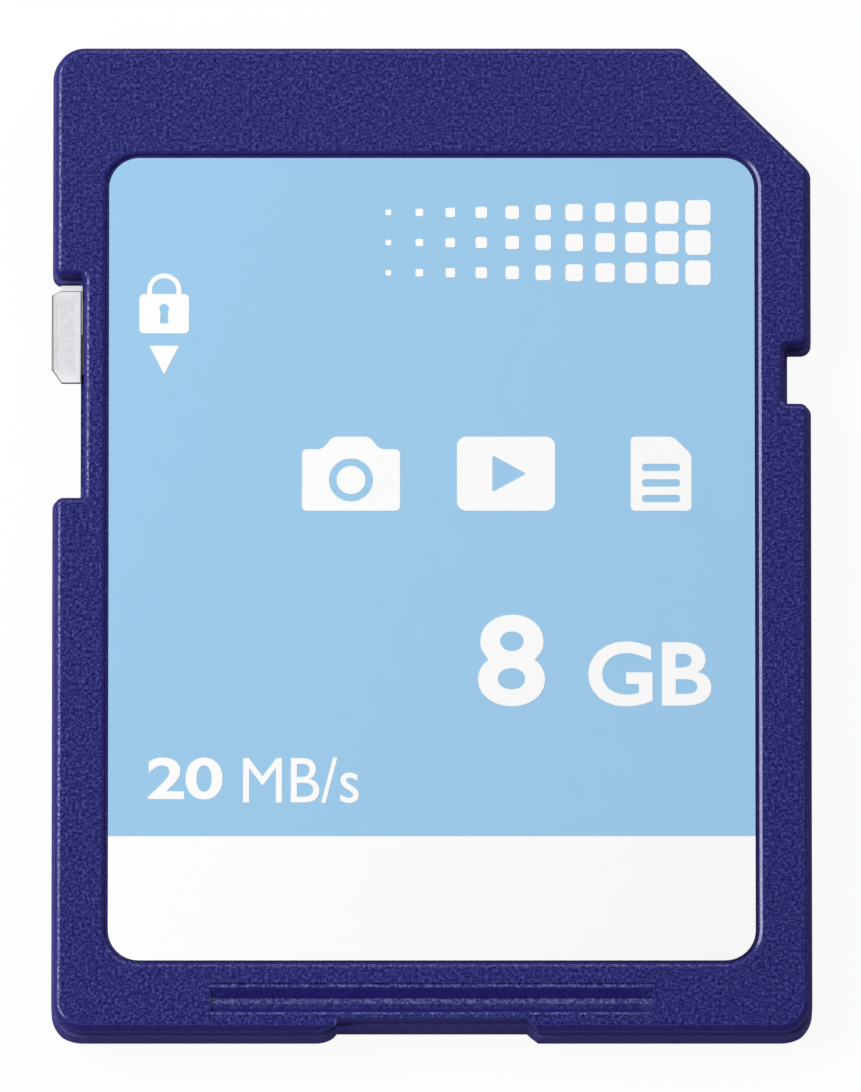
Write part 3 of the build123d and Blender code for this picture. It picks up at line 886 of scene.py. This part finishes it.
class PrintPictograms(bpy.types.Operator):
    """Prints a camera, a film frame and a sheet of paper"""

    bl_idname = "memory_card.print_pictograms"
    bl_label = "Print Pictograms"

    def camera(self, mark):
        """A camera with a hood, and its lens in a ring that is left open."""
        half_width, half_height = mark.width / 2, mark.height / 2
        shoulder = 0.66 * half_height
        hood_foot, hood_top = 0.58 * half_width, 0.38 * half_width
        corner = 0.8 * mark.corner
        lens = 0.58 * half_height
        lens_height = (shoulder - half_height) / 2
        shape = bmesh.new()
        case = (
            (-half_width, -half_height), (half_width, -half_height), (half_width, shoulder),
            (hood_foot, shoulder), (hood_top, half_height), (-hood_top, half_height),
            (-hood_foot, shoulder), (-half_width, shoulder),
        )
        outline(shape, case, corner)
        ring = bmesh.ops.create_circle(shape, segments=CIRCLE_SIDES, radius=lens)["verts"]
        shift(shape, ring, 0.0, lens_height)
        fill_between(shape)
        glass = bmesh.ops.create_circle(shape, cap_ends=True, segments=CIRCLE_SIDES, radius=lens - mark.gap)
        shift(shape, glass["verts"], 0.0, lens_height)
        return shape

    def film(self, mark):
        """A film frame, with a pointer left open in it."""
        corner, pointer_corner = 1.5 * mark.corner, 0.4 * mark.corner
        back, tip, rise = -0.18 * mark.height, 0.27 * mark.height, 0.25 * mark.height
        shape = bmesh.new()
        outline(shape, rectangle(mark.width, mark.height), corner)
        outline(shape, ((back, -rise), (tip, 0.0), (back, rise)), pointer_corner)
        fill_between(shape)
        return shape

    def sheet(self, mark):
        """A sheet with a cut corner, and lines of writing left open in it."""
        half_width, half_height = 0.40 * mark.height, mark.height / 2
        cut = 0.24 * mark.height
        corner, line_corner = 0.7 * mark.corner, 0.4 * mark.gap
        line_width, line_pitch = 1.25 * half_width, 2.1 * mark.gap
        lowest = -1.6 * line_pitch
        shape = bmesh.new()
        paper = (
            (-half_width, -half_height), (half_width, -half_height), (half_width, half_height - cut),
            (half_width - cut, half_height), (-half_width, half_height),
        )
        outline(shape, paper, corner)
        for line in range(mark.lines):
            outline(shape, rectangle(line_width, mark.gap, 0.0, lowest + line * line_pitch), line_corner)
        fill_between(shape)
        return shape

    def execute(self, context):
        mark = context.scene.memory_card.pictogram
        flat = bmesh.new()
        for index, draw in enumerate((self.camera, self.film, self.sheet)):
            shape = draw(mark)
            shift(shape, shape.verts[:], mark.first[0] + index * mark.pitch, mark.first[1])
            mesh = bpy.data.meshes.new("shape")
            shape.to_mesh(mesh)
            shape.free()
            pour_into(flat, mesh)
        print_on_label("pictograms", flat)
        return {"FINISHED"}


class FinishSlider(bpy.types.Operator):
    """Gives the write-lock slider its pale plastic, with a painted highlight towards its ends and inner
    side, a painted shade line along its outer side and painted shade along its upper edges
    """

    bl_idname = "memory_card.finish_slider"
    bl_label = "Finish Slider"

    def execute(self, context):
        slider = context.scene.memory_card.slider
        plastic = moulded_plastic("slider_plastic", slider)
        tree = plastic.node_tree
        low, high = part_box("lock_slider")
        half_length = (high.y - low.y) / 2
        highlight_start = half_length - slider.highlight_end
        highlight_full = half_length - slider.highlight_end / 4
        point = axes(object_place(tree))
        from_outer = sums("SUBTRACT", point["X"], low.x)
        from_middle = distance_from(point["Y"], (low.y + high.y) / 2)

        # Painted highlight towards both ends and along the inner side.
        ends = remap(from_middle, highlight_start, highlight_full)
        inner = remap(from_outer, slider.knob_width - slider.highlight_side, slider.knob_width)
        paint_over(product(larger(ends, inner), slider.highlight_share), slider.pale)

        # Painted shade: a faint line along the outer side.
        step = sums("COMPARE", from_outer, slider.step_shade_place, slider.step_shade_width)
        line = product(step, above(highlight_start, from_middle))
        paint_over(product(line, slider.step_shade_share), slider.step)

        level = levelness(tree)
        # Painted shade along the outer side of the face.
        side = remap(from_outer, slider.edge_shade_width / 2, slider.edge_shade_width, slider.edge_shade_share, 0.0)
        paint_over(product(side, above(level, LEVEL_FACE)), slider.edge_shade)
        # Painted shade over the rounded upper edges.
        upper_edge_shade = product(remap(level, *SLIDER_EDGE_FOOT), remap(level, *SLIDER_EDGE_TOP, 1.0, 0.0))
        paint_over(upper_edge_shade, slider.edge_shade)
        dress(plastic, "lock_slider")
        return {"FINISHED"}


class FinishBoard(bpy.types.Operator):
    """Gives the circuit board its solder mask over a glass weave"""

    bl_idname = "memory_card.finish_board"
    bl_label = "Finish Board"

    def execute(self, context):
        board = context.scene.memory_card.board
        material, tree, shader = new_material("board_laminate")
        point = object_place(tree)
        thread = {"Vector": point, "Scale": 1.0 / board.weave_scale, "Distortion": board.weave_bend}
        weave = product(*(
            put(tree, "ShaderNodeTexWave", thread, bands_direction=direction).outputs["Fac"]
            for direction in ("X", "Y")
        ))
        feed(shader, {
            "Base Color": blend(weave, board.mask, board.weave),
            "Roughness": remap(weave, 0.0, 1.0, *board.mask_roughness),
            "Normal": bumps(weave, board.weave_height),
        })
        dress(material, "circuit_board")
        return {"FINISHED"}


class FinishMetal(bpy.types.Operator):
    """Gives the contacts their gold and the leads their tin"""

    bl_idname = "memory_card.finish_metal"
    bl_label = "Finish Metal"

    def execute(self, context):
        board = context.scene.memory_card.board
        gold = mottled_metal(
            "contact_gold", board.gold, board.worn_gold,
            board.gold_patch, board.gold_stroke, board.gold_roughness,
        )
        dress(gold, *numbered("contact"))
        tin = mottled_metal(
            "tinned_metal", board.tin, board.dull_tin,
            board.tin_patch, board.tin_patch, board.tin_roughness,
        )
        dress(tin, "flash_leads", "controller_pads")
        return {"FINISHED"}


class FinishChips(bpy.types.Operator):
    """Gives both chips their dark moulding"""

    bl_idname = "memory_card.finish_chips"
    bl_label = "Finish Chips"

    def execute(self, context):
        mould = moulded_plastic("chip_mould", context.scene.memory_card.chip)
        dress(mould, "flash_chip", "controller_chip")
        return {"FINISHED"}


class FinishPassives(bpy.types.Operator):
    """Gives each capacitor and resistor a ceramic body between tinned end caps"""

    bl_idname = "memory_card.finish_passives"
    bl_label = "Finish Passives"

    def ceramic(self, name, board, body):
        """Ceramic of the given colour, with tin on both ends of that node."""
        low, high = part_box(name)
        half_body = (0.5 - board.cap_share) * (high.x - low.x)
        material, tree, shader = new_material(name + "_ceramic")
        point = object_place(tree)
        cap = above(distance_from(axes(point)["X"], (low.x + high.x) / 2), half_body)
        mottle = noise(point, 1.0 / board.ceramic_patch)
        clay = blend(mottle, [board.dusk * channel for channel in body], body)
        metal = blend(mottle, board.dull_tin, board.tin)
        feed(shader, {
            "Base Color": blend(cap, clay, metal),
            "Metallic": cap,
            "Roughness": remap(mottle, *NOISE_RANGE, *board.ceramic_roughness),
        })
        return material

    def execute(self, context):
        board = context.scene.memory_card.board
        for stem, body in (("capacitor", board.capacitor), ("resistor", board.resistor)):
            for name in numbered(stem):
                dress(self.ceramic(name, board, body), name)
        return {"FINISHED"}


def shown_backdrop(tree):
    """One for rays that show the backdrop itself, and nought for those that carry its light."""
    path = put(tree, "ShaderNodeLightPath").outputs
    return larger(larger(path["Is Camera Ray"], path["Is Glossy Ray"]), path["Is Transmission Ray"])


class BuildStage(bpy.types.Operator):
    """Lays the floor, hangs the lamps and sets the camera"""

    bl_idname = "memory_card.build_stage"
    bl_label = "Build Stage"

    def lay_floor(self, stage):
        """Lays a pale floor that is seen as nearly white and keeps the card's shadow."""
        material, tree, shader = new_material("studio_floor")
        feed(shader, {"Base Color": stage.floor, "Roughness": 1.0, "Specular IOR Level": 0.0})
        glow = put(tree, "ShaderNodeEmission", {"Strength": 1.0}).outputs["Emission"]
        seen = product(shown_backdrop(tree), stage.floor_glow)
        mixed = put(tree, "ShaderNodeMixShader", {0: seen, 1: shader.outputs["BSDF"], 2: glow})
        feed(tree.nodes["Material Output"], {"Surface": mixed.outputs["Shader"]})
        flat = bmesh.new()
        bmesh.ops.create_grid(flat, x_segments=1, y_segments=1, size=stage.floor_reach)
        shift(flat, flat.verts[:], 0.0, 0.0, BACK_LOW.z - stage.floor_gap)
        floor = make_object("studio_floor", flat, material)

    def fill_light(self, scene, stage):
        """Fills the studio with soft light that is stronger on the lit side."""
        world = bpy.data.worlds.new("studio_world")
        world.use_nodes = True
        tree = world.node_tree
        towards = {0: put(tree, "ShaderNodeTexCoord").outputs["Generated"], 1: LIT_SIDE}
        lit = put(tree, "ShaderNodeVectorMath", towards, operation="DOT_PRODUCT").outputs["Value"]
        strength = remap(lit, SHADED_SIDE, 1.0, stage.shade, stage.fill)
        feed(tree.nodes["Background"], {"Color": (1.0, 1.0, 1.0), "Strength": strength})
        scene.world = world

    def hang_lamps(self, scene, stage, aim):
        """Hangs a strip lamp on the left and one beyond the top edge."""
        for name, turn, rise, width, watts in (
            ("left_lamp", stage.left_turn, stage.left_rise, stage.left_width, stage.left_power),
            ("top_lamp", stage.top_turn, stage.top_rise, stage.top_width, stage.top_power),
        ):
            strip = bpy.data.lights.new(name, "AREA")
            strip.shape = "RECTANGLE"
            strip.size = width
            strip.size_y = stage.lamp_height
            strip.energy = watts
            level = math.cos(rise)
            towards = Vector((-level * math.sin(turn), level * math.cos(turn), math.sin(rise)))
            lamp = bpy.data.objects.new(name, strip)
            lamp.location = aim + stage.lamp_distance * towards
            lamp.rotation_euler = towards.to_track_quat("Z", "Y").to_euler()
            lamp.visible_camera = False
            scene.collection.objects.link(lamp)

    def set_camera(self, scene, stage, aim):
        """Sets the camera at the photo's angle and scale."""
        lens = bpy.data.cameras.new("studio_camera")
        lens.lens = lens.sensor_width * PHOTO_FOCAL / PHOTO_LONG_SIDE
        camera = bpy.data.objects.new("studio_camera", lens)
        back = Vector((0.0, -math.sin(stage.tilt), math.cos(stage.tilt)))
        camera.location = aim + stage.distance * back
        camera.rotation_euler = (stage.tilt, 0.0, 0.0)
        scene.collection.objects.link(camera)
        scene.camera = camera

    def execute(self, context):
        scene = context.scene
        stage = scene.memory_card.stage
        aim = Vector((*stage.aim, CAD_BOX[1].z))
        self.lay_floor(stage)
        self.fill_light(scene, stage)
        self.hang_lamps(scene, stage, aim)
        self.set_camera(scene, stage, aim)
        scene.view_settings.view_transform = "Standard"
        return {"FINISHED"}


class CardPanel(bpy.types.Panel):
    """Lists the steps that finish the memory card"""

    bl_idname = "VIEW3D_PT_memory_card"
    bl_label = "Memory Card"
    bl_space_type = "VIEW_3D"
    bl_region_type = "UI"
    bl_category = "Memory Card"

    def draw(self, context):
        for step in STEPS:
            self.layout.operator(step.bl_idname)


SETTINGS = (
    CaseSettings, LabelSettings, LockMarkSettings, NumberMarkSettings, CellMarkSettings,
    PictogramSettings, SliderSettings, ChipSettings, BoardSettings, StageSettings, CardSettings,
)
STEPS = (
    FinishCase, FinishLabel, PrintLockMark, PrintNumbers, PrintCells, PrintPictograms,
    FinishSlider, FinishBoard, FinishMetal, FinishChips, FinishPassives, BuildStage,
)
CLASSES = (*SETTINGS, *STEPS, CardPanel)


def register():
    """Makes the settings, steps and panel known to Blender."""
    for made in CLASSES:
        bpy.utils.register_class(made)
    bpy.types.Scene.memory_card = PointerProperty(type=CardSettings)


def unregister():
    """Takes the settings, steps and panel out again."""
    del bpy.types.Scene.memory_card
    for made in reversed(CLASSES):
        bpy.utils.unregister_class(made)


def main():
    """Runs every step in order."""
    register()
    bpy.ops.memory_card.finish_case()
    bpy.ops.memory_card.finish_label()
    bpy.ops.memory_card.print_lock_mark()
    bpy.ops.memory_card.print_numbers()
    bpy.ops.memory_card.print_cells()
    bpy.ops.memory_card.print_pictograms()
    bpy.ops.memory_card.finish_slider()
    bpy.ops.memory_card.finish_board()
    bpy.ops.memory_card.finish_metal()
    bpy.ops.memory_card.finish_chips()
    bpy.ops.memory_card.finish_passives()
    bpy.ops.memory_card.build_stage()


if __name__ == "__main__":
    main()
